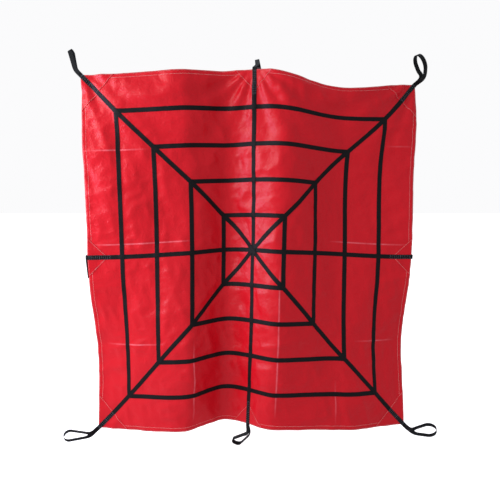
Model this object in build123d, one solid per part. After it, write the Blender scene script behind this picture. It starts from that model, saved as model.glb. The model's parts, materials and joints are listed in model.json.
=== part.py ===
from build123d import *
from math import asin, copysign, cos, hypot, pi, sin, sqrt
import os

# A square lifting tarp, hung by its three top loops: a coated sheet with a folded hem and sewn-on
# gussets, a web of flat webbing on its front (four full-length spokes over four square rings), and
# eight webbing lifting loops, one at each corner and one at the middle of each side. The sheet hangs
# in upright folds. The front faces -Y, up is +Z, and the origin is the top middle loop's hook point.

# ---- Driving dimensions, in millimetres and degrees ----
SHEET_SIDE = 3048.0
SHEET_THICKNESS = 0.8
HEM_WIDTH = 40.0
WEBBING_WIDTH = 38.1
WEBBING_THICKNESS = 2.5
RING_COUNT = 4
CORNER_GUSSET_LEG = 300.0
SIDE_GUSSET_BASE = 340.0
SIDE_GUSSET_HEIGHT = 180.0
TAIL_LENGTH = 230.0  # how far a loop's return ply runs in from the hem, on the back
STUB_LENGTH = 14.0  # where both plies run together past the hem's edge
PLY_GAP = 1.0  # between a loop's two plies at its root
HINGE_CLEARANCE = 0.8  # between a loop's rounded root and the stub it swings on
LOOP_STRAP_LENGTH = 690.0  # once round a loop's eye
RAMP_LENGTH = 14.0  # where a spoke climbs on to the strap or gusset beneath it
THREAD_WIDTH = 1.6
THREAD_HEIGHT = 0.6
GUSSET_SEAM_INSET = 9.0
HEM_SEAM_INSET = 5.0
TACK_ROW_COUNT = 3
TACK_ROW_SPACING = 13.0
SEAM_MARGIN = 3.0  # between a thread row's end and the piece that it stops at

# How the sheet hangs. Each fold line gives its place across the sheet in ring spacings from the
# middle, then how far the sheet stands back (+) or forward (-) there at five heights, evenly spaced
# from the top hem to the bottom hem.
FOLD_LINES = (
    (-5.0, -5.0, -15.0, 25.0, 120.0, 140.0),
    (-2.15, -145.0, -20.0, -10.0, -120.0, -125.0),
    (-0.85, -10.0, 120.0, 150.0, 80.0, 95.0),
    (0.9, -160.0, -115.0, -125.0, -195.0, -190.0),
    (2.9, 15.0, 145.0, 110.0, 30.0, -80.0),
    (5.0, 215.0, 170.0, 155.0, 245.0, 135.0),
)
LEFT_DROP = (35.0, 97.0)  # how much lower the left edge hangs than the middle: top hem, bottom hem
RIGHT_DROP = (68.0, 76.0)
TOP_SLACK = 97.0  # the top hem's sag between the middle loop and the right loop
MIDDLE_LEAN = 0.019  # the middle line leans this much to the right for each millimetre up
MIDDLE_BOW = 19.0  # and its ends bow this far to the left

# The loops: where each leaves the sheet and how it lies. heading is the strap's way out of the sheet,
# lean turns the loop from it within the sheet's plane, tilt turns it back (+) or forward (-) about its
# hinge, twist turns the eye about the loop's own length, and crown is the bend radius at its far end.
LOOPS = {
    "top_left": dict(corner=(-1, 1), lean=-19.0, tilt=52.0, twist=4.0, crown=26.0),
    "top": dict(corner=(0, 1), lean=21.0, tilt=64.0, twist=-7.0, crown=46.0),
    "top_right": dict(corner=(1, 1), lean=57.0, tilt=-19.0, twist=47.0, crown=82.0),
    "left": dict(corner=(-1, 0), lean=62.0, tilt=64.0, twist=-72.0, crown=34.0),
    "right": dict(corner=(1, 0), lean=-50.0, tilt=78.0, twist=20.0, crown=42.0),
    "bottom_left": dict(corner=(-1, -1), lean=-44.0, tilt=-24.0, twist=44.0, crown=50.0),
    "bottom": dict(corner=(0, -1), lean=-55.0, tilt=18.0, twist=58.0, crown=42.0),
    "bottom_right": dict(corner=(1, -1), lean=48.0, tilt=-24.0, twist=47.0, crown=70.0),
}
BEND_START = 20.0  # the stretch of a loop, from its hinge, in which it leans and twists
BEND_END = 125.0
SPINE_STEP = 5.0
CROWN_STEPS = 12  # flats round the far bend, along each leg and round the root
LEG_STEPS = 10
ROOT_STEPS = 6

# ---- Sizes worked out from the driving dimensions ----
HALF_SIDE = SHEET_SIDE / 2
RING_SPACING = HALF_SIDE / (RING_COUNT + 1)
HALF_WEBBING = WEBBING_WIDTH / 2
STUB_LEVEL = SHEET_THICKNESS / 2
ROOT_RADIUS = PLY_GAP / 2 + WEBBING_THICKNESS
PLY_RADIUS = (PLY_GAP + WEBBING_THICKNESS) / 2
HINGE_OFFSET = STUB_LENGTH + ROOT_RADIUS + HINGE_CLEARANCE
EDGE_ALLOWANCE = HINGE_OFFSET + WEBBING_WIDTH


# ---- The hanging shape ----
def ease(share):
    """A smooth step from 0 to 1."""
    share = min(max(share, 0.0), 1.0)
    return share * share * (3 - 2 * share)


def line_depth(line, height):
    """How far a fold line stands back at a height share of -1 (bottom hem) to 1 (top hem)."""
    depths = [line[1], *line[1:], line[-1]]
    place = (1 - height) * 2
    index = min(int(place), 3)
    share = place - index
    before, start, end, after = depths[index:index + 4]
    bend = (end - before) * share
    bend += (2 * before - 5 * start + 4 * end - after) * share ** 2
    bend += (3 * start - before - 3 * end + after) * share ** 3
    return start + bend / 2


def fold_wave(share):
    """A step from 0 to 1 between two fold lines, level at both and of nearly even slope between."""
    middle = 2 * share - 1
    return 0.5 + 0.625 * middle - 0.125 * middle ** 5


def fold_depth(u, v):
    """How far the sheet stands behind the hanging plane."""
    place = u / RING_SPACING
    height = min(max(v / HALF_SIDE, -1.0), 1.0)
    if place <= FOLD_LINES[0][0]:
        return line_depth(FOLD_LINES[0], height)
    for before, after in zip(FOLD_LINES, FOLD_LINES[1:]):
        if place <= after[0]:
            share = (place - before[0]) / (after[0] - before[0])
            wave = fold_wave(share)
            return line_depth(before, height) * (1 - wave) + line_depth(after, height) * wave
    return line_depth(FOLD_LINES[-1], height)


def hang_drop(u, v):
    """How far a point hangs below its place on the flat sheet."""
    share = min(abs(u) / HALF_SIDE, 1.0)
    height = min(max(v / HALF_SIDE, -1.0), 1.0)
    top, bottom = RIGHT_DROP if u > 0 else LEFT_DROP
    drop = (top * (1 + height) + bottom * (1 - height)) / 2 * ease(share)
    if u > 0 and v > 0:
        drop += TOP_SLACK * sin(pi * share) ** 2 * height ** 4
    return drop


def across(u, v):
    """Where a point of the flat sheet comes across the hanging one: folds draw the sheet in."""
    steps = max(int(abs(u) / (RING_SPACING / 8)), 1)
    step = u / steps
    total = 0.0
    for i in range(steps):
        here = i * step
        rise = fold_depth(here + step, v) - fold_depth(here, v)
        fall = hang_drop(here + step, v) - hang_drop(here, v)
        total += sqrt(max(step * step - rise * rise - fall * fall, 0.04 * step * step))
    return copysign(total, u)


def drape(u, v):
    """The flat sheet's point u to the right and v up from its middle, as it hangs."""
    sway = MIDDLE_LEAN * v - MIDDLE_BOW * (v / HALF_SIDE) ** 2
    return Vector(across(u, v) + sway, fold_depth(u, v), v - hang_drop(u, v))


# ---- The facets that every sewn piece follows ----
class Facet:
    """One flat triangle of the hanging sheet, with its corners on the flat sheet."""

    def __init__(self, corners):
        self.corners = corners
        self.points = [drape(u, v) for u, v in corners]

    def point(self, u, v, level):
        """The point at u, v, lifted level millimetres to the front."""
        (ua, va), (ub, vb), (uc, vc) = self.corners
        area = (ub - ua) * (vc - va) - (uc - ua) * (vb - va)
        b = ((u - ua) * (vc - va) - (uc - ua) * (v - va)) / area
        c = ((ub - ua) * (v - va) - (u - ua) * (vb - va)) / area
        place = self.points[0] * (1 - b - c) + self.points[1] * b + self.points[2] * c
        return place - Vector(0, level, 0)


def grid_lines(step):
    """Evenly spaced lines over the sheet, with the outer two moved out past its edges."""
    count = round(HALF_SIDE / step)
    lines = [i * step for i in range(-count, count + 1)]
    lines[0] = -HALF_SIDE - EDGE_ALLOWANCE
    lines[-1] = HALF_SIDE + EDGE_ALLOWANCE
    return lines


def make_facets():
    """Two triangles for each cell, split so that no corner strap runs along the split."""
    columns = grid_lines(RING_SPACING / 3)
    rows = grid_lines(RING_SPACING)[::2]
    facets = []
    for left, right in zip(columns, columns[1:]):
        for low, high in zip(rows, rows[1:]):
            a, b, c, d = (left, low), (right, low), (right, high), (left, high)
            if (left + right) * (low + high) > 0:
                facets += [Facet([a, b, d]), Facet([b, c, d])]
            else:
                facets += [Facet([a, b, c]), Facet([a, c, d])]
    return facets


FACETS = make_facets()


def clip(outline, start, end):
    """The part of a convex outline on the left of the line from start to end."""
    kept = []

    def side(point):
        return (end[0] - start[0]) * (point[1] - start[1]) - (end[1] - start[1]) * (point[0] - start[0])

    for here, after in zip(outline, outline[1:] + outline[:1]):
        side_here, side_after = side(here), side(after)
        if side_here >= 0:
            kept.append(here)
        if side_here * side_after < 0:
            share = side_here / (side_here - side_after)
            kept.append((here[0] + (after[0] - here[0]) * share, here[1] + (after[1] - here[1]) * share))
    return kept


def outline_area(outline):
    pairs = zip(outline, outline[1:] + outline[:1])
    return sum(a[0] * b[1] - b[0] * a[1] for a, b in pairs) / 2


def spot(point):
    """A point's place as a key: the same for two points less than a thousandth of a millimetre apart."""
    return (round(point[0], 3), round(point[1], 3))


def tidy(outline):
    """The outline without repeated points."""
    kept = []
    for point in outline:
        if not kept or spot(point) != spot(kept[-1]):
            kept.append(point)
    if len(kept) > 1 and spot(kept[0]) == spot(kept[-1]):
        kept.pop()
    return kept


def polygon(points):
    return Face(Wire.make_polygon(points, close=True))


def skin(points, flat):
    """Faces over a cell: one where it is flat, otherwise a fan of triangles."""
    if flat:
        return [polygon(points)]
    return [polygon([points[0], points[i], points[i + 1]]) for i in range(1, len(points) - 1)]


def lay(outlines, level, thickness):
    """One closed solid laid on the sheet: convex outlines on the flat sheet, anticlockwise, that meet
    edge to edge. level gives how far its under face stands in front of the sheet's back."""
    cells = []
    for outline in outlines:
        for facet in FACETS:
            cell = outline
            for start, end in zip(facet.corners, facet.corners[1:] + facet.corners[:1]):
                cell = clip(cell, start, end) if cell else cell
            cell = tidy(cell)
            if len(cell) > 2 and outline_area(cell) > 0.05:
                cells.append((cell, facet))
    edges = set()
    for cell, _ in cells:
        edges.update((spot(a), spot(b)) for a, b in zip(cell, cell[1:] + cell[:1]))
    faces = []
    for cell, facet in cells:
        levels = [level(u, v) for u, v in cell]
        flat = max(levels) - min(levels) < 1e-6
        low = [facet.point(u, v, height) for (u, v), height in zip(cell, levels)]
        high = [facet.point(u, v, height + thickness) for (u, v), height in zip(cell, levels)]
        faces += skin(high, flat)
        faces += skin(low[::-1], flat)
        for i in range(len(cell)):
            j = (i + 1) % len(cell)
            if (spot(cell[j]), spot(cell[i])) not in edges:
                faces.append(polygon([low[i], low[j], high[j], high[i]]))
    return Solid(Shell(faces))


def at(height):
    """A level that is the same everywhere."""
    return lambda u, v: height


# ---- The sheet, its hems and its gussets ----
def make_sheet():
    side = HALF_SIDE
    return lay([[(-side, -side), (side, -side), (side, side), (-side, side)]], at(0), SHEET_THICKNESS)


def turned(points, quarter):
    """The points turned by quarter turns about the sheet's middle."""
    for _ in range(quarter):
        points = [(-v, u) for u, v in points]
    return points


def make_hem(quarter):
    """The hem folded on to the back along one side, mitred at its ends. Quarter 0 is the right side."""
    outer = HALF_SIDE
    inner = HALF_SIDE - HEM_WIDTH
    strip = [(inner, -inner), (outer, -outer), (outer, outer), (inner, inner)]
    return lay([turned(strip, quarter)], at(-SHEET_THICKNESS), SHEET_THICKNESS)


def make_corner_gusset(quarter):
    """Quarter 0 is the top right corner."""
    inner = HALF_SIDE - CORNER_GUSSET_LEG
    triangle = [(HALF_SIDE, inner), (HALF_SIDE, HALF_SIDE), (inner, HALF_SIDE)]
    return lay([turned(triangle, quarter)], at(SHEET_THICKNESS), SHEET_THICKNESS)


def make_side_gusset(quarter):
    """Quarter 0 is the right side."""
    base = SIDE_GUSSET_BASE / 2
    triangle = [(HALF_SIDE, -base), (HALF_SIDE, base), (HALF_SIDE - SIDE_GUSSET_HEIGHT, 0)]
    return lay([turned(triangle, quarter)], at(SHEET_THICKNESS), SHEET_THICKNESS)


# ---- The web: rings under spokes ----
def make_ring_strap(ring, quarter):
    """One side of a square ring, mitred under the corner spokes. Quarter 0 is the right side."""
    outer = ring * RING_SPACING + HALF_WEBBING
    inner = ring * RING_SPACING - HALF_WEBBING
    strip = [(inner, -inner), (outer, -outer), (outer, outer), (inner, inner)]
    return lay([turned(strip, quarter)], at(SHEET_THICKNESS), WEBBING_THICKNESS)


class Strap:
    """A straight strap through the sheet's middle: its direction, and its level along its length."""

    def __init__(self, direction, steps):
        length = hypot(*direction)
        self.along = (direction[0] / length, direction[1] / length)
        self.steps = sorted(steps)

    def level(self, u, v):
        place = u * self.along[0] + v * self.along[1]
        if place <= self.steps[0][0]:
            return self.steps[0][1]
        for (start, low), (end, high) in zip(self.steps, self.steps[1:]):
            if place <= end:
                return low + (high - low) * (place - start) / (end - start)
        return self.steps[-1][1]

    def point(self, place, offset=0.0):
        du, dv = self.along
        return (place * du - offset * dv, place * dv + offset * du)

    def outline(self, start, end, low_side=-HALF_WEBBING, high_side=HALF_WEBBING):
        corners = ((start, low_side), (end, low_side), (end, high_side), (start, high_side))
        return [self.point(place, offset) for place, offset in corners]

    def solid(self, thickness=WEBBING_THICKNESS):
        places = [place for place, _ in self.steps]
        outlines = [self.outline(start, end) for start, end in zip(places, places[1:])]
        return lay(outlines, self.level, thickness)


def edge_distance(direction):
    """From the sheet's middle to its edge or corner along a spoke."""
    return HALF_SIDE * hypot(*direction)


def gusset_depth(direction):
    """How far the gusset under a spoke's end reaches in from the edge or corner."""
    return SIDE_GUSSET_HEIGHT if 0 in direction else CORNER_GUSSET_LEG / sqrt(2)


def make_spoke(direction, centre_straps):
    """A spoke from stub to stub. It steps over each ring, over the spokes under it at the middle, and
    on to a gusset at each end, and comes down past the hem to meet the loop's return ply."""
    slant = hypot(*direction)
    diagonal = slant > 1
    floor = SHEET_THICKNESS
    inner_reach = HALF_WEBBING * (slant + 1 if diagonal else 1)
    outer_reach = HALF_WEBBING * slant
    steps = []

    def step_over(start, end, height):
        steps.extend([(start - RAMP_LENGTH, floor), (start, floor + height)])
        steps.extend([(end, floor + height), (end + RAMP_LENGTH, floor)])

    if centre_straps:
        step_over(-inner_reach, inner_reach, centre_straps * WEBBING_THICKNESS)
    for ring in range(1, RING_COUNT + 1):
        place = ring * RING_SPACING * slant
        step_over(place - inner_reach, place + outer_reach, WEBBING_THICKNESS)
        step_over(-place - outer_reach, -place + inner_reach, WEBBING_THICKNESS)
    edge = edge_distance(direction)
    gusset = edge - gusset_depth(direction)
    for sign in (-1, 1):
        steps.append((sign * (gusset - RAMP_LENGTH), floor))
        steps.append((sign * gusset, floor + SHEET_THICKNESS))
        steps.append((sign * (edge + 1), floor + SHEET_THICKNESS))
        steps.append((sign * (edge + STUB_LENGTH / 2), STUB_LEVEL))
        steps.append((sign * (edge + STUB_LENGTH), STUB_LEVEL))
    return Strap(direction, steps)


SPOKES = {
    "horizontal": make_spoke((1, 0), 0),
    "vertical": make_spoke((0, 1), 1),
    "rising": make_spoke((1, 1), 2),
    "falling": make_spoke((1, -1), 3),
}


def make_tail(corner):
    """A loop's return ply, sewn to the back from the stub inwards."""
    edge = edge_distance(corner)
    hem = edge - HEM_WIDTH * hypot(*corner)
    if 0 not in corner:
        hem -= HALF_WEBBING
    top = -WEBBING_THICKNESS
    steps = [
        (edge - TAIL_LENGTH, top),
        (hem - RAMP_LENGTH, top),
        (hem, top - SHEET_THICKNESS),
        (edge + 1, top - SHEET_THICKNESS),
        (edge + STUB_LENGTH / 2, STUB_LEVEL + top),
        (edge + STUB_LENGTH, STUB_LEVEL + top),
    ]
    return Strap(corner, steps).solid()


# ---- Thread ----
def thread_row(start, end, height):
    """A straight row of thread between two points of the flat sheet."""
    length = hypot(end[0] - start[0], end[1] - start[1])
    du = (end[0] - start[0]) / length * THREAD_WIDTH / 2
    dv = (end[1] - start[1]) / length * THREAD_WIDTH / 2
    outline = [
        (start[0] + dv, start[1] - du),
        (end[0] + dv, end[1] - du),
        (end[0] - dv, end[1] + du),
        (start[0] - dv, start[1] + du),
    ]
    return lay([outline], at(height), THREAD_HEIGHT)


def make_hem_stitching():
    """The hem's row on the front, from each corner gusset to the side gussets beside it."""
    across_hem = HALF_SIDE - HEM_WIDTH + HEM_SEAM_INSET
    side_share = 1 - (HALF_SIDE - across_hem) / SIDE_GUSSET_HEIGHT
    near = SIDE_GUSSET_BASE / 2 * side_share + SEAM_MARGIN
    far = HALF_SIDE - CORNER_GUSSET_LEG + (HALF_SIDE - across_hem) - SEAM_MARGIN
    rows = []
    for quarter in range(4):
        for start, end in ((near, far), (-far, -near)):
            row = turned([(across_hem, start), (across_hem, end)], quarter)
            rows.append(thread_row(*row, SHEET_THICKNESS))
    return rows


def make_gusset_stitching():
    """A row inside each gusset's free edges, left and right of the spoke over it."""
    level = 2 * SHEET_THICKNESS
    beside = HALF_WEBBING + SEAM_MARGIN
    rows = []
    inset = CORNER_GUSSET_LEG / sqrt(2) - GUSSET_SEAM_INSET
    corner_edge = HALF_SIDE * sqrt(2)
    side_edge = HALF_SIDE
    base, depth = SIDE_GUSSET_BASE / 2, SIDE_GUSSET_HEIGHT
    seam_shift = GUSSET_SEAM_INSET * hypot(base, depth) / base
    corner_strap = Strap((1, 1), [(0, 0)])
    side_strap = Strap((1, 0), [(0, 0)])
    for quarter in range(4):
        for sign in (-1, 1):
            start = corner_strap.point(corner_edge - inset, sign * beside)
            end = corner_strap.point(corner_edge - inset, sign * (inset - 2 * SEAM_MARGIN))
            rows.append(thread_row(*turned([start, end], quarter), level))
            near = side_edge - depth * (1 - beside / base) + seam_shift
            start = side_strap.point(near, sign * beside)
            far_share = 1 - (seam_shift + SEAM_MARGIN) / depth
            end = side_strap.point(side_edge - SEAM_MARGIN, sign * base * far_share)
            rows.append(thread_row(*turned([start, end], quarter), level))
    return rows


def make_tack_stitching():
    """Lengthwise rows that tie each spoke's end, the gusset and the loop's tail together."""
    level = 2 * SHEET_THICKNESS + WEBBING_THICKNESS
    rows = []
    for loop in LOOPS.values():
        corner = loop["corner"]
        strap = Strap(corner, [(0, 0)])
        edge = edge_distance(corner)
        start = edge - gusset_depth(corner) + SEAM_MARGIN
        end = edge - SEAM_MARGIN
        for i in range(TACK_ROW_COUNT):
            offset = (i - (TACK_ROW_COUNT - 1) / 2) * TACK_ROW_SPACING
            rows.append(thread_row(strap.point(start, offset), strap.point(end, offset), level))
    return rows


# ---- The loops ----
def facet_at(u, v):
    for facet in FACETS:
        sides = zip(facet.corners, facet.corners[1:] + facet.corners[:1])
        if all(outline_area([a, b, (u, v)]) >= 0 for a, b in sides):
            return facet
    raise ValueError("the point is off the sheet")


def stub_point(corner, past_edge, offset=0.0):
    """A point on the middle of a stub's two plies."""
    strap = Strap(corner, [(0, 0)])
    u, v = strap.point(edge_distance(corner) + past_edge, offset)
    return facet_at(u, v).point(u, v, STUB_LEVEL)


def belt_distance(crown):
    """From a loop's hinge to its crown's centre, so that the strap round both has its full length."""
    low, high = crown, LOOP_STRAP_LENGTH
    for _ in range(50):
        distance = (low + high) / 2
        slope = asin((crown - PLY_RADIUS) / distance)
        legs = 2 * distance * cos(slope)
        bends = (pi + 2 * slope) * crown + (pi - 2 * slope) * PLY_RADIUS
        if legs + bends < LOOP_STRAP_LENGTH:
            low = distance
        else:
            high = distance
    return distance


def eye_outline(crown):
    """The loop's middle line in its own plane, once round: (along, aside, outward normal) each."""
    distance = belt_distance(crown)
    turn = pi / 2 + asin((crown - PLY_RADIUS) / distance)
    stations = []

    def arc(centre, radius, start, end, steps):
        for i in range(steps + 1):
            angle = start + (end - start) * i / steps
            normal = (cos(angle), sin(angle))
            stations.append((centre + radius * normal[0], radius * normal[1], normal))

    def leg(end_along, end_aside):
        along, aside, normal = stations[-1]
        for i in range(1, LEG_STEPS):
            share = i / LEG_STEPS
            place = (along + (end_along - along) * share, aside + (end_aside - aside) * share)
            stations.append((*place, normal))

    arc(distance, crown, -turn, turn, CROWN_STEPS)
    leg(PLY_RADIUS * cos(turn), PLY_RADIUS * sin(turn))
    arc(0.0, PLY_RADIUS, turn, 2 * pi - turn, ROOT_STEPS)
    leg(distance + crown * cos(turn), -crown * sin(turn))
    return stations


class LoopSpine:
    """The line that a loop follows out of its hinge, with the loop's own axes along it."""

    def __init__(self, corner, lean, tilt, twist, crown):
        low_end = stub_point(corner, HINGE_OFFSET, -HALF_WEBBING)
        high_end = stub_point(corner, HINGE_OFFSET, HALF_WEBBING)
        self.corner = corner
        self.hinge = (low_end + high_end) / 2
        self.axis = (high_end - low_end).normalized()
        inner = (stub_point(corner, 0, -HALF_WEBBING) + stub_point(corner, 0, HALF_WEBBING)) / 2
        normal = (self.hinge - inner).cross(self.axis).normalized()
        out = self.axis.cross(normal)
        self.lean, self.tilt, self.twist, self.crown = lean, tilt, twist, crown
        hinge_line = Axis(Vector(0, 0, 0), self.axis)
        self.out = out.rotate(hinge_line, tilt)
        self.normal = normal.rotate(hinge_line, tilt)

    def frame(self, along):
        """The loop's direction, its eye's opening direction and its webbing's width direction."""
        share = ease((along - BEND_START) / (BEND_END - BEND_START))
        plane_normal = Axis(Vector(0, 0, 0), self.normal)
        out = self.out.rotate(plane_normal, self.lean * share)
        width = self.axis.rotate(plane_normal, self.lean * share)
        spine = Axis(Vector(0, 0, 0), out)
        return out, self.normal.rotate(spine, self.twist * share), width.rotate(spine, self.twist * share)

    def place(self, along, aside, lift=0.0):
        """A point of the eye's plane, bent on to the spine, and moved lift along the width."""
        point = self.hinge
        if along > 0:
            steps = max(int(along / SPINE_STEP), 1)
            step = along / steps
            for i in range(steps):
                point = point + self.frame((i + 0.5) * step)[0] * step
        else:
            point = point + self.out * along
        _, opening, width = self.frame(along)
        return point + opening * aside + width * lift

    def solid(self):
        """The closed band of webbing round the eye."""
        rings = []
        half = WEBBING_THICKNESS / 2
        for along, aside, (na, ns) in eye_outline(self.crown):
            corners = []
            for side, lift in ((-half, -1), (half, -1), (half, 1), (-half, 1)):
                corners.append(self.place(along + na * side, aside + ns * side, lift * HALF_WEBBING))
            rings.append(corners)
        faces = []
        for here, after in zip(rings, rings[1:] + rings[:1]):
            for i in range(4):
                j = (i + 1) % 4
                faces.append(polygon([here[i], here[j], after[j]]))
                faces.append(polygon([here[i], after[j], after[i]]))
        return Solid(Shell(faces))

    def hook_point(self):
        """Where a hook bears: inside the crown, on the webbing's middle line."""
        return self.place(belt_distance(self.crown) + self.crown - WEBBING_THICKNESS / 2, 0.0)


SPINES = {name: LoopSpine(**loop) for name, loop in LOOPS.items()}


# ---- The nodes ----
def make_nodes():
    sides = ("right", "top", "left", "bottom")
    corners = ("top_right", "top_left", "bottom_left", "bottom_right")
    nodes = {"tarp_sheet": [make_sheet()]}
    for quarter in range(4):
        nodes[f"hem_{sides[quarter]}"] = [make_hem(quarter)]
        nodes[f"gusset_{corners[quarter]}"] = [make_corner_gusset(quarter)]
        nodes[f"gusset_{sides[quarter]}"] = [make_side_gusset(quarter)]
        for ring in range(1, RING_COUNT + 1):
            nodes[f"ring_{ring}_strap_{sides[quarter]}"] = [make_ring_strap(ring, quarter)]
    for name, spoke in SPOKES.items():
        nodes[f"spoke_{name}"] = [spoke.solid()]
    for name, loop in LOOPS.items():
        nodes[f"loop_tail_{name}"] = [make_tail(loop["corner"])]
        nodes[f"loop_{name}"] = [SPINES[name].solid()]
    nodes["hem_stitching"] = make_hem_stitching()
    nodes["gusset_stitching"] = make_gusset_stitching()
    nodes["tack_stitching"] = make_tack_stitching()
    return nodes


def main():
    os.makedirs("parts", exist_ok=True)
    origin = SPINES["top"].hook_point()
    for name, solids in make_nodes().items():
        placed = [solid.moved(Location(-origin)) for solid in solids]
        shape = placed[0] if len(placed) == 1 else Compound(children=placed)
        export_step(shape, f"parts/{name}.step")
    for name, spine in SPINES.items():
        hinge = spine.hinge - origin
        hook = spine.hook_point() - origin
        print(name, "hinge", hinge, "axis", spine.axis, "hook", hook)


main()
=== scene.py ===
import json
from math import asin, cos, hypot, pi, radians, sin, sqrt

import bpy
import numpy as np
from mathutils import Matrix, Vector


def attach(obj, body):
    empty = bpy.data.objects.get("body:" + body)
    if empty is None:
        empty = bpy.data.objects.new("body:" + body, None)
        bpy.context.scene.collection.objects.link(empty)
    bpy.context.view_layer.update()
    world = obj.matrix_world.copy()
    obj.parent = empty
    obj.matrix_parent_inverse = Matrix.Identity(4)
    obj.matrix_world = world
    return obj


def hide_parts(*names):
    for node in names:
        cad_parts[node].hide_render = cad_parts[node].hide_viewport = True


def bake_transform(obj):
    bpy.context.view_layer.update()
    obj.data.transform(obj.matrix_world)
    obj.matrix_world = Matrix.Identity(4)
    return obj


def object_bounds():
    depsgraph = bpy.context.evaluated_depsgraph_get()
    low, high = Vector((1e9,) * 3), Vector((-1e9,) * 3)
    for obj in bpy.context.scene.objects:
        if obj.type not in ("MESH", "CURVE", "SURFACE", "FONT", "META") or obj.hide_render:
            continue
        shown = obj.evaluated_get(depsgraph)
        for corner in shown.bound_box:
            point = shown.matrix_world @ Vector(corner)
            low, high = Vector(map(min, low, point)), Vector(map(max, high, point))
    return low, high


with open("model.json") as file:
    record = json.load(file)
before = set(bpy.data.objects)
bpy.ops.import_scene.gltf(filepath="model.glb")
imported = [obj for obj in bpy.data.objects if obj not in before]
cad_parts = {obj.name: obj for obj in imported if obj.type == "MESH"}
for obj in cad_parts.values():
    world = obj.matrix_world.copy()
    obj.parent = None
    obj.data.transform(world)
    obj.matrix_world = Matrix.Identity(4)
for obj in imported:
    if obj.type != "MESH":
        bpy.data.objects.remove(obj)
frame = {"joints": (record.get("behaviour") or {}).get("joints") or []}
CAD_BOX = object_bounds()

bl_info = {
    "name": "Lifting Tarp",
    "version": (1, 0, 0),
    "blender": (4, 5, 0),
    "location": "View3D > Sidebar > Tarp",
    "description": "Makes a webbed lifting tarp, hung by its top loops, piece by piece",
    "category": "Object",
}

# Every piece is first made flat, as on a cutting table, with X and Y in the table's plane and Z up
# through the cloth. form() then carries it to its place on the hanging tarp. Lengths are in metres.

MM = 0.001
SHEET_SIDE = 3.048
HALF_SIDE = SHEET_SIDE / 2
RING_COUNT = 4
RING_SPACING = HALF_SIDE / (RING_COUNT + 1)
SHEET_CELLS = 200  # cells along a side of the sheet, and of the grid that every piece follows
CELL = SHEET_SIDE / SHEET_CELLS
MARGIN_CELLS = 6  # the grid runs this far past the sheet's edges
STUB_LENGTH = 14 * MM  # from the sheet's edge to where a loop's two plies meet
PLY_GAP = 1 * MM  # between the two plies there
HINGE_CLEARANCE = 0.8 * MM
MAX_HINGE_GAP = 20 * MM  # a loop's root may miss the frame's hinge by no more than this
LOOP_STRAP_LENGTH = 690 * MM
BEND_START = 20 * MM  # a loop takes up its lean and twist between these distances from its hinge
BEND_END = 125 * MM
BLEND_LENGTH = 22 * MM  # from a loop's hinge to where it would give way when it swings; the loops step finds that point but does not use it
RAMP_LENGTH = 14 * MM  # over which a strap climbs on to another
WEBBING_ROUNDING = 0.9 * MM

# The fold lines: place across the sheet in ring spacings, then how far the sheet stands back (+) or
# forward (-) there at five heights, evenly spaced from the top hem to the bottom hem.
FOLD_LINES = (
    (-5.0, -0.005, -0.015, 0.025, 0.120, 0.140),
    (-2.15, -0.145, -0.020, -0.010, -0.120, -0.125),
    (-0.85, -0.010, 0.120, 0.150, 0.080, 0.095),
    (0.9, -0.160, -0.115, -0.125, -0.195, -0.190),
    (2.9, 0.015, 0.145, 0.110, 0.030, -0.080),
    (5.0, 0.215, 0.170, 0.155, 0.245, 0.135),
)
LEFT_DROP = (0.035, 0.097)  # how much lower an edge hangs than the middle: top hem, bottom hem
RIGHT_DROP = (0.068, 0.076)
TOP_SLACK = 0.097  # the top hem's sag between the middle loop and the right loop
MIDDLE_LEAN = 0.019
MIDDLE_BOW = 0.019

# Each loop: the side or corner that it leaves, then its lean, tilt and twist in degrees, and the
# radius of the bend at its far end.
LOOPS = {
    "top_left": dict(corner=(-1, 1), lean=-19, tilt=52, twist=4, crown=0.026),
    "top": dict(corner=(0, 1), lean=21, tilt=64, twist=-7, crown=0.046),
    "top_right": dict(corner=(1, 1), lean=57, tilt=-19, twist=47, crown=0.082),
    "left": dict(corner=(-1, 0), lean=62, tilt=64, twist=-72, crown=0.034),
    "right": dict(corner=(1, 0), lean=-50, tilt=78, twist=20, crown=0.042),
    "bottom_left": dict(corner=(-1, -1), lean=-44, tilt=-24, twist=44, crown=0.050),
    "bottom": dict(corner=(0, -1), lean=-55, tilt=18, twist=58, crown=0.042),
    "bottom_right": dict(corner=(1, -1), lean=48, tilt=-24, twist=47, crown=0.070),
}
SPOKES = {"horizontal": ((1, 0), 0), "vertical": ((0, 1), 1), "rising": ((1, 1), 2), "falling": ((1, -1), 3)}
SPOKE_STEPS_FOR = dict(SPOKES.values())  # how many straps lie under each spoke at the middle
# Stitches: pitch along a seam, length of one stitch, thickness of its thread, which is drawn thicker
# than the real 1.5 mm so that the seams show.
SEAM_PITCH = 10 * MM
SEAM_STITCH = 8 * MM
SEAM_THREAD = 3.2 * MM
SEAM_MARGIN = 6 * MM  # from the cloth's edge in to its seam
GUSSET_MARGIN = 9 * MM  # from a gusset's slanting edges in to their seams
FOOT_GAP = 2 * MM  # between the ends of a side gusset's seams
TACK_STITCH = 11 * MM
TACK_THREAD = 2.6 * MM
TACK_LENGTH = 200 * MM  # how far a loop's tack runs in from the sheet's edge
TACK_END = 8 * MM  # from the sheet's edge to the tack
TACK_SIDE = 13.5 * MM  # from a strap's middle to the tack's long rows
TACK_SWING = 10 * MM  # how far its zigzag reaches to each side
TACK_ZIGZAG_PITCH = 16 * MM
WEB_PITCH = 14 * MM
WEB_THREAD = 1.6 * MM
WEB_STITCH_HEIGHT = 0.7 * MM
WEB_MARGIN = 5 * MM  # from a strap's edge in to its seam
CROSSING_GAP = 32 * MM  # a ring's seams stop this far from the middle of a spoke
CORNER_GAP = 42 * MM  # and this far from the middle of a corner
CENTRE_GAP = 60 * MM  # the spokes' seams stop this far from the sheet's middle
SIDES = ("right", "top", "left", "bottom")  # in quarter turns from the right
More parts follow.
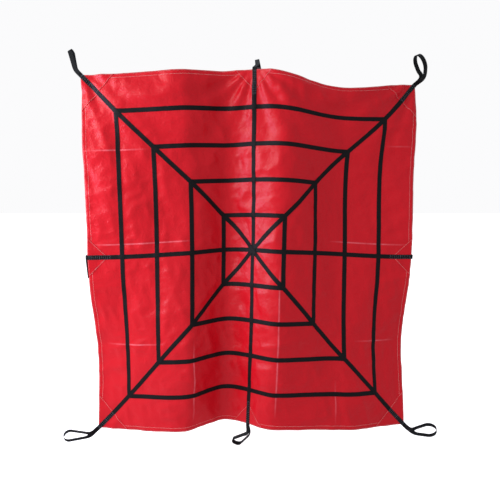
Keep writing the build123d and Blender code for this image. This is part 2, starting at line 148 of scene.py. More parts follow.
CORNERS = ("top_right", "top_left", "bottom_left", "bottom_right")


# ---- What a user would change ----
def length_property(name, description, millimetres):
    return bpy.props.FloatProperty(name=name, description=description, default=millimetres * MM,
                                   subtype="DISTANCE")


def colour_property(name, description, hex_value):
    return bpy.props.StringProperty(name=name, description=description + ", as an sRGB hex value",
                                    default=hex_value)


class TarpSizes(bpy.types.PropertyGroup):
    sheet_thickness: length_property("Sheet", "Thickness of the coated sheet", 0.8)
    hem_width: length_property("Hem", "Width of the folded hem", 40)
    webbing_width: length_property("Webbing width", "Width of every strap and loop", 38.1)
    webbing_thickness: length_property("Webbing", "Thickness of the webbing", 2.5)
    corner_gusset: length_property("Corner gusset", "Leg of a corner gusset", 300)
    side_gusset_base: length_property("Side gusset base", "Side gusset along the hem", 340)
    side_gusset_height: length_property("Side gusset height", "Side gusset in from the hem", 180)
    tail_length: length_property("Tail", "Length of a loop's return ply on the back", 230)
    panel_bulge: length_property("Panel bulge", "How far cloth stands off between the straps", 7)
    crease_height: length_property("Creases", "Height of the creases left by folding the tarp away", 8)
    crumple_height: length_property("Crumple", "Height of the small random wrinkles", 9)


class TarpColours(bpy.types.PropertyGroup):
    sheet: colour_property("Sheet", "Coated sheet", "DC1020")
    sheet_shade: colour_property("Sheet, thicker coating", "The sheet's darker patches", "CC0C1C")
    # Pale at the creases: partly the coating stretched pale, partly a painted highlight where the folds catch
    # the light.
    crease: colour_property("Crease", "Stretched coating at a crease", "FF8C96")
    webbing: colour_property("Webbing", "Webbing", "020304")
    webbing_bloom: colour_property("Webbing, rubbed", "The webbing's paler patches", "06090C")
    webbing_sheen: colour_property("Webbing sheen", "The webbing's bloom at a low angle", "5B7C96")
    seam_thread: colour_property("Seam thread", "Thread in the hem and gussets", "FFC4BC")
    tack_thread: colour_property("Tack thread", "Thread that ties the loops down", "7E8890")


# ---- The hanging shape ----
def ease(share):
    """A smooth step from 0 to 1."""
    share = np.clip(share, 0.0, 1.0)
    return share * share * (3 - 2 * share)


def line_depth(line, height):
    """How far a fold line stands back at height shares of -1 (bottom hem) to 1 (top hem)."""
    depths = np.array([line[1], *line[1:], line[-1]])
    place = (1 - height) * 2
    index = np.minimum(place.astype(int), 3)
    share = place - index
    before, start, end, after = (depths[index + k] for k in range(4))
    bend = (end - before) * share
    bend += (2 * before - 5 * start + 4 * end - after) * share ** 2
    bend += (3 * start - before - 3 * end + after) * share ** 3
    return start + bend / 2


def fold_depth(u, v):
    """How far the sheet stands behind the hanging plane."""
    place = np.clip(u / RING_SPACING, FOLD_LINES[0][0], FOLD_LINES[-1][0])
    height = np.clip(v / HALF_SIDE, -1.0, 1.0)
    depth = line_depth(FOLD_LINES[0], height)
    for before, after in zip(FOLD_LINES, FOLD_LINES[1:]):
        middle = np.clip(2 * (place - before[0]) / (after[0] - before[0]) - 1, -1.0, 1.0)
        wave = 0.5 + 0.625 * middle - 0.125 * middle ** 5
        depth = depth + wave * (line_depth(after, height) - line_depth(before, height))
    return depth


def hang_drop(u, v):
    """How far a point hangs below its place on the flat sheet."""
    share = np.minimum(np.abs(u) / HALF_SIDE, 1.0)
    height = np.clip(v / HALF_SIDE, -1.0, 1.0)
    top = np.where(u > 0, RIGHT_DROP[0], LEFT_DROP[0])
    bottom = np.where(u > 0, RIGHT_DROP[1], LEFT_DROP[1])
    drop = (top * (1 + height) + bottom * (1 - height)) / 2 * ease(share)
    slack = TOP_SLACK * np.sin(pi * share) ** 2 * np.maximum(height, 0.0) ** 4
    return drop + np.where(u > 0, slack, 0.0)


def blend_cells(grid, i, j, fx, fy):
    """The grid's value between four neighbours: shares fx and fy of the way from column i and row j."""
    low = grid[j, i] * (1 - fx) + grid[j, i + 1] * fx
    high = grid[j + 1, i] * (1 - fx) + grid[j + 1, i + 1] * fx
    return low * (1 - fy) + high * fy


def value_noise(u, v, cell, seed):
    """Smooth random heights from -1 to 1, with features about cell across."""
    random = np.random.default_rng(seed)
    size = int(2 * (HALF_SIDE + 0.3) / cell) + 4
    table = random.uniform(-1, 1, (size, size))
    x = u / cell + size / 2
    y = v / cell + size / 2
    i = np.clip(np.floor(x).astype(int), 0, size - 2)
    j = np.clip(np.floor(y).astype(int), 0, size - 2)
    return blend_cells(table, i, j, ease(x - i), ease(y - j))


# Pulls that fan out from the loops that carry the sheet: place across its top edge, waves in a
# radian, and how far they reach.
PULLS = ((0.0, 15.0, 0.75), (-HALF_SIDE, 13.0, 0.8), (HALF_SIDE, 14.0, 0.9))
PULL_HEIGHT = 0.015
PUCKER_HEIGHT = 0.0012
EDGE_ROLL = 0.03  # how far the left edge rolls back
FLUTTER_HEIGHT = 0.0025  # along all four edges

# Creases left by folding the tarp away: which way they run, their place in cells of the sheet's grid
# up from or right of its middle, their height as a share, where + stands forward, and the cells
# between which they run.
STORAGE_CREASES = (
    ("level", 59, 0.8, -100, -62), ("level", 64, 0.6, 82, 100), ("level", 7, -1.0, -98, -38),
    ("level", 7, -0.8, 50, 98), ("level", -50, 0.9, -94, -56), ("level", -50, 0.7, 66, 96),
    ("upright", -39, 0.8, -96, -48), ("upright", 18, 0.8, -94, -8), ("upright", 54, 0.7, -98, -72),
    ("upright", 81, 1.0, -78, -38),
)


def crease_ridges(u, v):
    """The storage creases as heights from -1 to 1."""
    height = np.zeros_like(u)
    for number, (way, cell, share, first, last) in enumerate(STORAGE_CREASES):
        along, over = (u, v) if way == "level" else (v, u)
        within = ease((along / CELL - first) / 16) * ease((last - along / CELL) / 16)
        strength = 0.7 + 0.5 * value_noise(along, along * 0 + 0.2 * number, 0.4, 40 + number)
        height += share * strength * within * np.exp(-np.abs(over - cell * CELL) / 0.03)
    return height


def web_distance(u, v, half):
    """From each point to the edge of the nearest strap, which reaches half to each side."""
    far = np.maximum(np.abs(u), np.abs(v))
    ring = np.clip(np.round(far / RING_SPACING), 1, RING_COUNT) * RING_SPACING
    lines = (np.abs(far - ring), np.abs(u), np.abs(v), np.abs(u - v) / sqrt(2), np.abs(u + v) / sqrt(2))
    return np.maximum(np.min(lines, axis=0) - half, 0.0)


def relief(u, v, sizes):
    """The sheet's small shape in front of its folds: panels that stand off between the straps, storage
    creases, pulls from the loops that carry it, puckers along the seams and a light crumple."""
    far = np.maximum(np.abs(u), np.abs(v))
    near = np.minimum(np.abs(u), np.abs(v))
    across = np.sin(pi * np.clip(far / RING_SPACING, 0, RING_COUNT + 1)) ** 2
    beside = np.sin(pi * np.clip(near / np.maximum(far, 1e-6), 0, 1))
    sway = value_noise(u, v, 0.33, 3)
    height = sizes.panel_bulge * across * np.sqrt(beside) * (0.35 + sway)

    height += sizes.crease_height * crease_ridges(u, v)

    for root_u, waves, reach in PULLS:
        du, dv = u - root_u, v - HALF_SIDE - 0.05
        away = np.hypot(du, dv)
        angle = np.arctan2(dv, du)
        pulls = np.sin(waves * angle + 1.5 * value_noise(u, v, 0.5, 9))
        height += PULL_HEIGHT * pulls * np.exp(-away / reach) * ease(away / 0.25)

    gap = web_distance(u, v, sizes.webbing_width / 2)
    pucker = value_noise(u, v, 0.045, 5) + 0.6 * value_noise(u, v, 0.028, 6)
    height += PUCKER_HEIGHT * pucker * np.exp(-gap / 0.03) * ease(gap / 0.004)

    crumple = np.zeros_like(u)
    for cell, share, seed in ((0.31, 1.0, 11), (0.17, 0.75, 12), (0.09, 0.5, 13)):
        crumple += share * (1 - 2 * np.abs(value_noise(u + 0.31 * v, v - 0.22 * u, cell, seed)))
    height += sizes.crumple_height * crumple * (0.4 + 0.6 * ease(gap / 0.06))

    height -= EDGE_ROLL * np.exp(-((u + HALF_SIDE) / 0.16) ** 2) * (0.6 + 0.4 * np.sin(v / 0.19))

    edge = HALF_SIDE - far
    flutter = np.sin((u + v * (np.abs(u) > np.abs(v))) / 0.055 + 3 * value_noise(u, v, 0.3, 15))
    height += FLUTTER_HEIGHT * flutter * np.exp(-np.maximum(edge, 0) / 0.05)
    for loop in LOOPS.values():
        root = np.hypot(u - loop["corner"][0] * HALF_SIDE, v - loop["corner"][1] * HALF_SIDE)
        height *= ease(root / 0.12 - 0.3)
    return height


class Hang:
    """The hanging sheet's back face as a grid of points and front-facing normals."""

    def __init__(self, sizes):
        count = SHEET_CELLS // 2 + MARGIN_CELLS
        self.start = -count * CELL
        lines = np.arange(-count, count + 1) * CELL
        u, v = np.meshgrid(lines, lines)
        depth, drop = fold_depth(u, v), hang_drop(u, v)
        shift = np.diff(depth, axis=1) ** 2 + np.diff(drop, axis=1) ** 2
        steps = np.sqrt(np.maximum(CELL ** 2 - shift, 0.04 * CELL ** 2))
        across = np.concatenate([np.zeros((len(lines), 1)), np.cumsum(steps, axis=1)], axis=1)
        across -= across[:, count:count + 1]
        across += MIDDLE_LEAN * v - MIDDLE_BOW * (v / HALF_SIDE) ** 2
        self.points = np.stack([across, depth, v - drop], axis=2)
        self.normals = self.grid_normals()
        self.points += self.normals * relief(u, v, sizes)[..., None]
        self.normals = self.grid_normals()

    def grid_normals(self):
        du = np.gradient(self.points, axis=1)
        dv = np.gradient(self.points, axis=0)
        normal = np.cross(du, dv)
        return normal / np.linalg.norm(normal, axis=2, keepdims=True)

    def sample(self, grid, u, v):
        x = np.clip((u - self.start) / CELL, 0, grid.shape[1] - 1.001)
        y = np.clip((v - self.start) / CELL, 0, grid.shape[0] - 1.001)
        i, j = x.astype(int), y.astype(int)
        return blend_cells(grid, i, j, (x - i)[:, None], (y - j)[:, None])

    def place(self, u, v, level):
        """Points on the hanging sheet, level metres in front of its back face."""
        u, v, level = (np.atleast_1d(np.asarray(value, float)) for value in (u, v, level))
        u, v, level = np.broadcast_arrays(u, v, level)
        normal = self.sample(self.normals, u, v)
        normal /= np.linalg.norm(normal, axis=1, keepdims=True)
        return self.sample(self.points, u, v) + normal * level[:, None]


# ---- Straps as lines on the flat sheet ----
class Strap:
    """A straight line through the sheet's middle, with a level along it."""

    def __init__(self, direction, steps=((0.0, 0.0), (1.0, 0.0))):
        length = hypot(*direction)
        self.along = (direction[0] / length, direction[1] / length)
        steps = sorted(steps)
        self.places = np.array([place for place, _ in steps])
        self.levels = np.array([level for _, level in steps])

    def point(self, place, offset):
        du, dv = self.along
        return place * du - offset * dv, place * dv + offset * du

    def level(self, place):
        """The level, with its corners rounded as a stiff strap would."""
        soft = 3.5 * MM
        shifts = (-1.5, -0.5, 0.5, 1.5)
        return sum(np.interp(place + s * soft, self.places, self.levels) for s in shifts) / len(shifts)


def edge_distance(corner):
    return HALF_SIDE * hypot(*corner)


def gusset_depth(corner, sizes):
    return sizes.side_gusset_height if 0 in corner else sizes.corner_gusset / sqrt(2)


def spoke_steps(corner, centre_straps, sizes):
    """Where a spoke climbs over rings, over the spokes under it and on to the gussets."""
    slant = hypot(*corner)
    half = sizes.webbing_width / 2
    floor = sizes.sheet_thickness
    inner = half * (slant + 1 if slant > 1 else 1)
    outer = half * slant
    steps = []

    def step_over(start, end, height):
        steps.extend([(start - RAMP_LENGTH, floor), (start, floor + height)])
        steps.extend([(end, floor + height), (end + RAMP_LENGTH, floor)])

    if centre_straps:
        step_over(-inner, inner, centre_straps * sizes.webbing_thickness)
    for ring in range(1, RING_COUNT + 1):
        place = ring * RING_SPACING * slant
        step_over(place - inner, place + outer, sizes.webbing_thickness)
        step_over(-place - outer, -place + inner, sizes.webbing_thickness)
    gusset = edge_distance(corner) - gusset_depth(corner, sizes)
    for sign in (-1, 1):
        steps.append((sign * (gusset - RAMP_LENGTH), floor))
        steps.append((sign * gusset, floor + sizes.sheet_thickness))
    return steps


def tail_steps(corner, sizes):
    edge = edge_distance(corner)
    hem = edge - sizes.hem_width * hypot(*corner)
    if 0 not in corner:
        hem -= sizes.webbing_width / 2
    top = -sizes.webbing_thickness
    return [(hem - RAMP_LENGTH, top), (hem, top - sizes.sheet_thickness), (edge, top - sizes.sheet_thickness)]


# ---- The loops' own shape ----
def rows_between(reach, known, rows):
    """Rows of three values at distances along a line, between the rows at the known distances."""
    return np.stack([np.interp(reach, known, rows[:, k]) for k in range(3)], axis=1)


class LoopSpine:
    """The line that a loop follows out of its hinge, with its own axes along it."""

    STEP = 2 * MM

    def __init__(self, name, hang, sizes):
        loop = LOOPS[name]
        joint = next(j for j in frame["joints"] if j["child"] == f"loop_{name}")
        self.corner = loop["corner"]
        self.crown = loop["crown"]
        self.sizes = sizes
        self.hinge = np.array(joint["pos_m"])
        axis = np.array(joint["axis"])
        strap = Strap(self.corner)
        u, v = strap.point(np.array([edge_distance(self.corner)]), np.array([0.0]))
        inner = hang.place(u, v, sizes.sheet_thickness / 2)[0]
        normal = np.cross(self.hinge - inner, axis)
        normal /= np.linalg.norm(normal)
        out = np.cross(axis, normal)
        out, normal = (rotated(way, axis, radians(loop["tilt"])) for way in (out, normal))
        along = np.arange(0, 0.5, self.STEP)
        share = ease((along - BEND_START) / (BEND_END - BEND_START))
        ways = []
        for part in share:
            lean = radians(loop["lean"]) * part
            twist = radians(loop["twist"]) * part
            heading = rotated(out, normal, lean)
            width = rotated(axis, normal, lean)
            ways.append((heading, rotated(normal, heading, twist), rotated(width, heading, twist)))
        self.along = along
        headings, self.openings, self.widths = (np.array(column) for column in zip(*ways))
        middle = (headings[1:] + headings[:-1]) / 2 * self.STEP
        self.spine = self.hinge + np.concatenate([np.zeros((1, 3)), np.cumsum(middle, axis=0)])

    def belt_distance(self, ply):
        low, high = self.crown, LOOP_STRAP_LENGTH
        for _ in range(50):
            distance = (low + high) / 2
            slope = asin((self.crown - ply) / distance)
            bends = (pi + 2 * slope) * self.crown + (pi - 2 * slope) * ply
            if 2 * distance * cos(slope) + bends < LOOP_STRAP_LENGTH:
                low = distance
            else:
                high = distance
        return distance

    def eye_line(self):
        """The strap's middle line from its front root round the eye to its back root: along, aside."""
        ply = (PLY_GAP + self.sizes.webbing_thickness) / 2
        distance = self.belt_distance(ply)
        turn = pi / 2 + asin((self.crown - ply) / distance)
        angles = np.linspace(turn, -turn, 60)
        crown = np.stack([distance + self.crown * np.cos(angles), self.crown * np.sin(angles)], axis=1)
        shares = np.linspace(0, 1, 40)[:-1, None]
        front = np.array([0.0, ply]) * (1 - shares) + crown[0] * shares
        return np.concatenate([front, crown, (front * (1, -1))[::-1]])

    def eye_points(self):
        """The eye's line bent on to the spine, with the webbing's width direction at each point."""
        line = self.eye_line()
        middle, opening, width = (rows_between(line[:, 0], self.along, rows)
                                  for rows in (self.spine, self.openings, self.widths))
        return middle + opening * line[:, 1:], width


def rotated(way, axis, angle):
    """way turned about a unit axis by an angle in radians."""
    way, axis = np.asarray(way), np.asarray(axis)
    return way * cos(angle) + np.cross(axis, way) * sin(angle) + axis * np.dot(axis, way) * (1 - cos(angle))


class BandPath:
    """A line for webbing to follow: points, width directions and face normals by distance along it."""

    def __init__(self, points, widths, rounds=3):
        gaps = np.linalg.norm(np.diff(points, axis=0), axis=1)
        reach = np.concatenate([[0], np.cumsum(gaps)])
        self.length = reach[-1]
        self.reach = np.linspace(0, self.length, int(self.length / (3 * MM)))
        points, widths = (rows_between(self.reach, reach, rows) for rows in (points, widths))
        for _ in range(rounds):
            points[1:-1] = (points[:-2] + 2 * points[1:-1] + points[2:]) / 4
            widths[1:-1] = (widths[:-2] + 2 * widths[1:-1] + widths[2:]) / 4
        tangents = np.gradient(points, axis=0)
        tangents /= np.linalg.norm(tangents, axis=1, keepdims=True)
        widths -= tangents * np.sum(widths * tangents, axis=1, keepdims=True)
        widths /= np.linalg.norm(widths, axis=1, keepdims=True)
        self.points, self.widths, self.normals = points, widths, np.cross(tangents, widths)

    def place(self, x, y, z):
        """Table points, X along the band, carried on to it."""
        point, width, normal = (rows_between(x, self.reach, rows)
                                for rows in (self.points, self.widths, self.normals))
        return point + width * y[:, None] + normal * z[:, None]


# ---- Modelling on the cutting table ----
def table_grid(name, length, width, along, across):
    """A flat grid about the table's origin, its length along X."""
    bpy.ops.object.select_all(action="DESELECT")
    bpy.ops.mesh.primitive_grid_add(x_subdivisions=along, y_subdivisions=across, size=1)
    piece = bpy.context.object
    piece.name = piece.data.name = name
    bpy.ops.object.mode_set(mode="EDIT")
    bpy.ops.transform.resize(value=(length, width, 1))
    bpy.ops.object.mode_set(mode="OBJECT")
    return piece


def cut_off(point, normal):
    """Cuts the active piece along a line and drops what lies beyond it."""
    bpy.ops.object.mode_set(mode="EDIT")
    bpy.ops.mesh.select_all(action="SELECT")
    bpy.ops.mesh.bisect(plane_co=point, plane_no=normal, clear_outer=True)
    bpy.ops.object.mode_set(mode="OBJECT")


def thicken(piece, thickness, rounding, segments=2):
    """Gives a flat piece its thickness upwards and rounds its edges."""
    solid = piece.modifiers.new("thickness", "SOLIDIFY")
    solid.thickness = thickness
    solid.offset = 1
    bpy.ops.object.modifier_apply(modifier=solid.name)
    if rounding:
        bevel = piece.modifiers.new("edge", "BEVEL")
        bevel.width = rounding
        bevel.segments = segments
        bevel.angle_limit = radians(60)
        bpy.ops.object.modifier_apply(modifier=bevel.name)


def table_points(piece):
    points = np.empty(len(piece.data.vertices) * 3)
    piece.data.vertices.foreach_get("co", points)
    return points.reshape(-1, 3)


def form(piece, place, material, body="tarp", nodes=(), spread=None):
    flat = table_points(piece)
    measures = flat[:, :2] if spread is None else np.stack(spread(*flat[:, :2].T), axis=1)
    layer = piece.data.uv_layers[0] if piece.data.uv_layers else piece.data.uv_layers.new()
    corners = np.empty(len(piece.data.loops), int)
    piece.data.loops.foreach_get("vertex_index", corners)
    layer.data.foreach_set("uv", measures[corners].astype(np.float32).ravel())
    layer.name = "flat"
    piece.data.vertices.foreach_set("co", place(*flat.T).ravel())
    piece.data.update()
    piece.data.shade_smooth()
    piece.data.materials.clear()
    piece.data.materials.append(material)
    if nodes:
        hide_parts(*nodes)
    if body:
        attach(piece, body)
    return piece


def turn_quarters(u, v, quarter):
    for _ in range(quarter):
        u, v = -v, u
    return u, v


# ---- Materials ----
USUAL_OUTPUT = {"ShaderNodeTexWave": "Fac", "ShaderNodeTexChecker": "Fac", "ShaderNodeMix": 2}
CREASE_HALF_WIDTH = 0.009  # of the pale line along one of the creases: partly the coating stretched pale, partly a painted highlight where the fold catches the light
CREASE_END_FADE = 0.2
WAVE_TURN = 2 * pi / 20  # a wave texture's scale for one band in each metre
GROOVE_SHADE = 0.55  # of the thread's colour, between its plies


def linear(hex_value):
    """An sRGB hex value as linear RGBA."""
    parts = [int(hex_value[i:i + 2], 16) / 255 for i in (0, 2, 4)]
    return (*[p / 12.92 if p <= 0.04045 else ((p + 0.055) / 1.055) ** 2.4 for p in parts], 1.0)


def add_node(tree, kind, links=(), **settings):
    """Adds a shader node with its settings. links pairs a value, an output, or a node whose usual
    output is meant, with the input that takes it."""
    node = tree.nodes.new(f"ShaderNode{kind}")
    for name, value in settings.items():
        if hasattr(node, name):
            setattr(node, name, value)
        else:
            node.inputs[name.replace("_", " ")].default_value = value
    for source, name in links:
        if isinstance(source, bpy.types.Node):
            source = source.outputs[USUAL_OUTPUT.get(source.bl_idname, 0)]
        if isinstance(source, bpy.types.NodeSocket):
            tree.links.new(source, node.inputs[name])
        else:
            node.inputs[name].default_value = source
    return node


def new_material(name):
    material = bpy.data.materials.new(name)
    material.use_nodes = True
    material.node_tree.nodes.clear()
    return material, material.node_tree


def finish_material(tree, shader):
    add_node(tree, "OutputMaterial", [(shader, "Surface")])


def coated_sheet_material(colours):
    """PVC-coated polyester, calendered: a smooth skin with a soft gloss, dense even colour, the scrim
    just telling through it, and pale lines along the creases, partly the coating stretched pale and
    partly a painted highlight where the folds catch the light."""
    material, tree = new_material("pvc_coated_polyester")
    flat = add_node(tree, "UVMap", uv_map="flat")
    split = add_node(tree, "SeparateXYZ", [(flat, "Vector")])
    crease_variation = add_node(tree, "TexNoise", [(flat, "Vector")], Scale=14.0, Detail=4.0)

    # Pale lines along the storage creases: partly the coating stretched pale, partly a painted highlight
    # where the folds catch the light.
    crease = None
    for way, cell, share, first, last in STORAGE_CREASES:
        over, along = ("Y", "X") if way == "level" else ("X", "Y")
        half = (last - first) / 2 * CELL
        fades = []
        for axis, middle, near, far, strength in (
                (over, cell * CELL, 0.0, CREASE_HALF_WIDTH, abs(share)),
                (along, (first + last) / 2 * CELL, half - CREASE_END_FADE, half, 1.0)):
            off = add_node(tree, "Math", [(split.outputs[axis], 0), (middle, 1)], operation="SUBTRACT")
            off = add_node(tree, "Math", [(off, 0)], operation="ABSOLUTE")
            fade = add_node(tree, "MapRange", [(off, "Value")], From_Min=near,
                            From_Max=far, To_Min=strength, To_Max=0.0)
            fades.append((fade, len(fades)))
        line = add_node(tree, "Math", fades, operation="MULTIPLY")
        crease = add_node(tree, "Math", [(crease, 0), (line, 1)], operation="MAXIMUM") if crease else line
    patchy = add_node(tree, "Math", [(crease, 0), (crease_variation, 1)], operation="MULTIPLY")

    # The pigment is dense; broad patches differ a little where the coating is thicker.
    broad = add_node(tree, "TexNoise", [(flat, "Vector")], Scale=2.2, Detail=3.0)
    tone = add_node(tree, "Mix", [(broad, "Factor"), (linear(colours.sheet_shade), "A"),
                                  (linear(colours.sheet), "B")], data_type="RGBA")
    # The colour of the creases goes over the sheet's tone along those lines, as stretched coating and painted
    # highlight.
    pale = add_node(tree, "Mix", [(patchy, "Factor"), (tone, "A"),
                                  (linear(colours.crease), "B")], data_type="RGBA")

    # Handling dulls the skin in soft patches.
    dull = add_node(tree, "MapRange", [(broad, "Value")], To_Min=0.30, To_Max=0.44)

    # The scrim's threads are about 2.8 mm apart.
    weave = add_node(tree, "TexChecker", [(flat, "Vector")], Scale=1 / (2.8 * MM))
    grain = add_node(tree, "TexNoise", [(flat, "Vector")], Scale=420.0, Detail=2.0)
    fine = add_node(tree, "Math", [(weave, 0), (grain, 1)], operation="ADD")
    scrim = add_node(tree, "Bump", [(fine, "Height")], Strength=0.12, Distance=0.25 * MM)
    # Small dents and puckers, 15 to 60 mm across, that the sheet's own mesh is too coarse for.
    dents = add_node(tree, "TexNoise", [(flat, "Vector")], Scale=16.0, Detail=5.0,
                     Roughness=0.6, Distortion=0.8)
    bump = add_node(tree, "Bump", [(dents, "Height"), (scrim, "Normal")], Strength=0.9, Distance=7 * MM)
    shader = add_node(tree, "BsdfPrincipled",
                      [(pale, "Base Color"), (dull, "Roughness"), (bump, "Normal")],
                      IOR=1.3, Coat_Weight=0.04, Coat_Roughness=0.25)
    finish_material(tree, shader)
    return material


def webbing_material(colours):
    """Polyester webbing, flat woven: matt black with crosswise ribs and a blue bloom at a low angle."""
    material, tree = new_material("woven_polyester_webbing")
    flat = add_node(tree, "UVMap", uv_map="flat")
    # Ribs 2.2 mm apart across the strap, and warp cords 3.4 mm apart along it.
    ribs = add_node(tree, "TexWave", [(flat, "Vector")], bands_direction="X",
                    Scale=WAVE_TURN / (2.2 * MM), Distortion=1.5)
    cords = add_node(tree, "TexWave", [(flat, "Vector")], bands_direction="Y",
                     Scale=WAVE_TURN / (3.4 * MM), Distortion=0.4)
    relief_height = add_node(tree, "Math", [(ribs, 0), (cords, 1)], operation="MULTIPLY")
    fluff = add_node(tree, "TexNoise", [(flat, "Vector")], Scale=9.0, Detail=6.0)
    tone = add_node(tree, "Mix", [(fluff, "Factor"), (linear(colours.webbing), "A"),
                                  (linear(colours.webbing_bloom), "B")], data_type="RGBA")
    shade = add_node(tree, "Mix", [(tone, "A"), (relief_height, "B")],
                     data_type="RGBA", blend_type="MULTIPLY", Factor=0.35)
    bump = add_node(tree, "Bump", [(relief_height, "Height")], Strength=0.5, Distance=0.5 * MM)
    shader = add_node(tree, "BsdfPrincipled", [(shade, "Base Color"), (bump, "Normal")],
                      Roughness=0.6, IOR=1.3, Sheen_Weight=0.02, Sheen_Roughness=0.4,
                      Sheen_Tint=linear(colours.webbing_sheen))
    finish_material(tree, shader)
    return material


def thread_material(name, hex_value):
    """Bonded polyester thread: three plies twisted, with a slight gloss."""
    material, tree = new_material(name)
    flat = add_node(tree, "UVMap", uv_map="flat")
    plies = add_node(tree, "TexWave", [(flat, "Vector")], bands_direction="DIAGONAL",
                     Scale=WAVE_TURN / (1.4 * MM))
    colour = linear(hex_value)
    groove = [GROOVE_SHADE * part for part in colour[:3]] + [1.0]
    tone = add_node(tree, "Mix", [(plies, "Factor"), (groove, "A"), (colour, "B")], data_type="RGBA")
    bump = add_node(tree, "Bump", [(plies, "Height")], Strength=0.4, Distance=0.2 * MM)
    shader = add_node(tree, "BsdfPrincipled", [(tone, "Base Color"), (bump, "Normal")],
                      Roughness=0.42, IOR=1.5)
    finish_material(tree, shader)
    return material


class Shop:
    """What the pieces share: the sizes, the hanging sheet and the materials."""

    opened = None

    def __init__(self, scene):
        self.sizes, colours = scene.tarp_sizes, scene.tarp_colours
        self.hang = Hang(self.sizes)
        self.seat_on_frame()
        self.sheet = coated_sheet_material(colours)
        self.webbing = webbing_material(colours)
        self.seam_thread = thread_material("bonded_seam_thread", colours.seam_thread)
        self.tack_thread = thread_material("bonded_tack_thread", colours.tack_thread)

    @classmethod
    def get(cls, context):
        """The one shop, opened by the first operator that asks for it."""
        if cls.opened is None:
            cls.opened = cls(context.scene)
        return cls.opened

    def seat_on_frame(self):
        """Moves the hanging sheet so that its loop roots meet the frame's hinges."""
        gaps = []
        past = STUB_LENGTH + PLY_GAP / 2 + self.sizes.webbing_thickness + HINGE_CLEARANCE
        for name, loop in LOOPS.items():
            strap = Strap(loop["corner"])
            place = np.array([edge_distance(loop["corner"]) + past])
            root = self.hang.place(*strap.point(place, np.zeros(1)), self.sizes.sheet_thickness / 2)[0]
            joint = next(j for j in frame["joints"] if j["child"] == f"loop_{name}")
            gaps.append(np.array(joint["pos_m"]) - root)
        self.hang.points += np.mean(gaps, axis=0)
        spread = np.abs(np.array(gaps) - np.mean(gaps, axis=0)).max()
        if spread > MAX_HINGE_GAP:
            raise RuntimeError(f"the loop roots are {spread:.3f} m off the frame's hinges")


# ---- One operator for each piece or group of like pieces ----
class TarpStep:
    """What the operators share: each makes some of the pieces from what the shop holds, and takes its
    own name from its class's."""

    def __init_subclass__(cls):
        super().__init_subclass__()
        name = cls.__name__.removeprefix("TARP_OT_")
        cls.bl_idname, cls.bl_label = f"tarp.{name}", name.replace("_", " ").capitalize()

    def execute(self, context):
        shop = Shop.get(context)
        self.make(shop, shop.sizes, shop.hang)
        return {"FINISHED"}


class TARP_OT_sheet(TarpStep, bpy.types.Operator):
    """Cuts the square coated sheet and hangs it"""

    def make(self, shop, sizes, hang):
        sheet = table_grid("coated_sheet", SHEET_SIDE, SHEET_SIDE, SHEET_CELLS, SHEET_CELLS)
        thicken(sheet, sizes.sheet_thickness, 0)
        form(sheet, hang.place, shop.sheet, nodes=["tarp_sheet"])


def lay_cloth(shop, name, size, cells, cuts, level, spread):
    """A piece of the sheet's cloth: cut from a flat grid, and laid on the sheet at a level. spread
    turns the table's x, y into the flat sheet's u, v."""
    piece = table_grid(name, *size, *cells)
    for point, normal in cuts:
        cut_off(point, normal)
    thicken(piece, shop.sizes.sheet_thickness, 0)

    def place(x, y, z):
        return shop.hang.place(*spread(x, y), z + level)

    form(piece, place, shop.sheet, nodes=[name], spread=spread)


class TARP_OT_hems(TarpStep, bpy.types.Operator):
    """Folds the four hems on to the sheet's back"""

    def make(self, shop, sizes, hang):
        middle = HALF_SIDE - sizes.hem_width / 2
        cuts = [((end * middle, 0, 0), (end, 1, 0)) for end in (-1, 1)]
        for quarter, side in enumerate(SIDES):
            def spread(x, y, quarter=quarter):
                return turn_quarters(middle - y, x, quarter)

            lay_cloth(shop, f"hem_{side}", (SHEET_SIDE, sizes.hem_width), (SHEET_CELLS, 4), cuts,
                      -sizes.sheet_thickness, spread)


class TARP_OT_gussets(TarpStep, bpy.types.Operator):
    """Lays the corner and side gussets on the front"""

    def make(self, shop, sizes, hang):
        leg, base, height = sizes.corner_gusset, sizes.side_gusset_base, sizes.side_gusset_height
        for quarter, corner in enumerate(CORNERS):
            def spread(x, y, quarter=quarter, middle=HALF_SIDE - leg / 2):
                return turn_quarters(middle + x, middle + y, quarter)

            lay_cloth(shop, f"gusset_{corner}", (leg, leg), (28, 28), [((0, 0, 0), (-1, -1, 0))],
                      sizes.sheet_thickness, spread)
        cuts = [((0, height / 2, 0), (end * height, base / 2, 0)) for end in (-1, 1)]
        for quarter, side in enumerate(SIDES):
            def spread(x, y, quarter=quarter, middle=HALF_SIDE - height / 2):
                return turn_quarters(middle - y, x, quarter)

            lay_cloth(shop, f"gusset_{side}", (base, height), (32, 18), cuts, sizes.sheet_thickness, spread)


class TARP_OT_ring_straps(TarpStep, bpy.types.Operator):
    """Sews the four square rings of webbing to the sheet, mitred at their corners"""

    def make(self, shop, sizes, hang):
        for ring in range(1, RING_COUNT + 1):
            middle = ring * RING_SPACING
            for quarter, side in enumerate(SIDES):
                length = 2 * middle + sizes.webbing_width
                name = f"ring_{ring}_strap_{side}"
                strap = table_grid(name, length, sizes.webbing_width, int(length / CELL) + 1, 6)
                for end in (-1, 1):
                    cut_off((end * middle, 0, 0), (end, -1, 0))
                thicken(strap, sizes.webbing_thickness, WEBBING_ROUNDING)

                def place(x, y, z, quarter=quarter, middle=middle):
                    return hang.place(*turn_quarters(middle + y, x, quarter), z + sizes.sheet_thickness)

                form(strap, place, shop.webbing, nodes=[name])


def sew_strap(shop, name, direction, steps, start, end):
    """A full strap between two places on a line through the sheet's middle."""
    sizes, hang = shop.sizes, shop.hang
    length = end - start
    piece = table_grid(name, length, sizes.webbing_width, int(length / (7 * MM)), 6)
    thicken(piece, sizes.webbing_thickness, WEBBING_ROUNDING)
    strap = Strap(direction, steps)

    def place(x, y, z):
        along = x + (start + end) / 2
        return hang.place(*strap.point(along, y), z + strap.level(along))

    form(piece, place, shop.webbing, nodes=[name])


